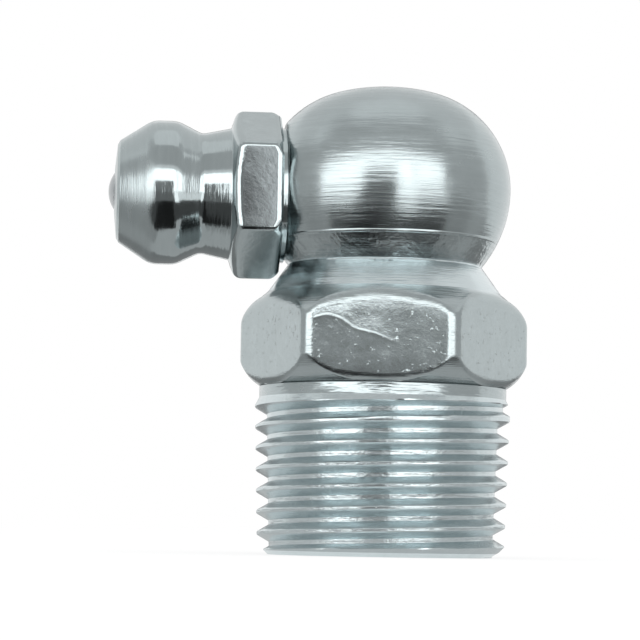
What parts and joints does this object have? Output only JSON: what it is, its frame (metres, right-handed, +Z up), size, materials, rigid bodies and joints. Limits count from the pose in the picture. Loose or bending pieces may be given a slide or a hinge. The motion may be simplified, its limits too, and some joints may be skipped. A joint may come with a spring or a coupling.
{
  "type": "grease nipple",
  "caption": "Right-angle hydraulic grease nipple: tapered-thread hexagon body with a ball-shaped top, and a side head for a grease coupler, closed by a sprung check ball.",
  "frame": {"origin": "centre of the threaded end face, on the thread's axis", "axes": "+Z up the thread's axis towards the ball top; the nipple head points along -X, and its small hexagon has flats that face -Y and +Y; the body's hexagon is turned 7.4 degrees clockwise from there, seen from above"},
  "size_m": [0.02, 0.0126, 0.0223],
  "materials": {
    "zinc_plate": "bright zinc plating over turned steel, faintly blue, with fine turning lines",
    "ball_steel": "polished hardened steel",
    "spring_steel": "drawn spring wire"
  },
  "bodies": {
    "fitting": {"elbow_body": "zinc_plate", "nipple_head": "zinc_plate", "check_spring": "spring_steel"},
    "valve": {"check_ball": "ball_steel"}
  },
  "joints": [
    {"name": "ball_lift", "type": "slide", "parent": "fitting", "child": "valve", "axis": [1, 0, 0], "range_m": [0, 0.0012], "stiffness_N_per_m": 100, "springref_m": -0.003, "deforming": ["check_spring"]}
  ]
}
